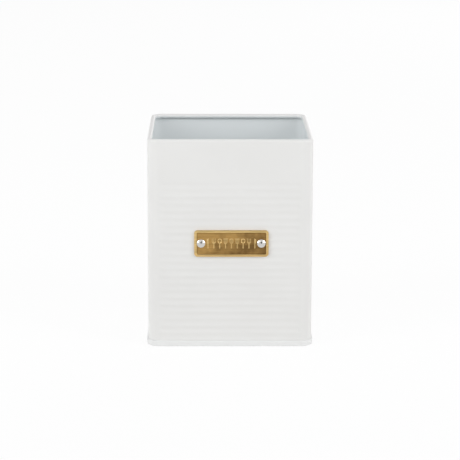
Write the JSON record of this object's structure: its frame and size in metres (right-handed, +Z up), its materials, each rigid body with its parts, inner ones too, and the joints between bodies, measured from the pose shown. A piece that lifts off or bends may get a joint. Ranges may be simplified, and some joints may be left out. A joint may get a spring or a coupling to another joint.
{
  "type": "open utensil pot",
  "caption": "Open-top square kitchen utensil pot of coated sheet steel with a rolled rim, fine pressed grooves, a seamed-on bottom and a riveted brass label plate.",
  "frame": {"origin": "middle of the pot's footprint, on the surface it stands on", "axes": "+Z up, +X to the right as the front is seen, -Y to the front, where the label is"},
  "size_m": [0.122, 0.1229, 0.1535],
  "materials": {
    "coated_steel_wall": "off-white baked enamel coating, satin, on sheet steel",
    "coated_steel_base": "off-white baked enamel coating, satin, on sheet steel",
    "brass_label": "stamped, brushed and lightly aged brass",
    "plated_rivet": "polished nickel plate on steel"
  },
  "bodies": {
    "root": {"body_wall": "coated_steel_wall", "base_panel": "coated_steel_base", "label_plate": "brass_label", "rivet_left": "plated_rivet", "rivet_right": "plated_rivet"}
  },
  "joints": []
}
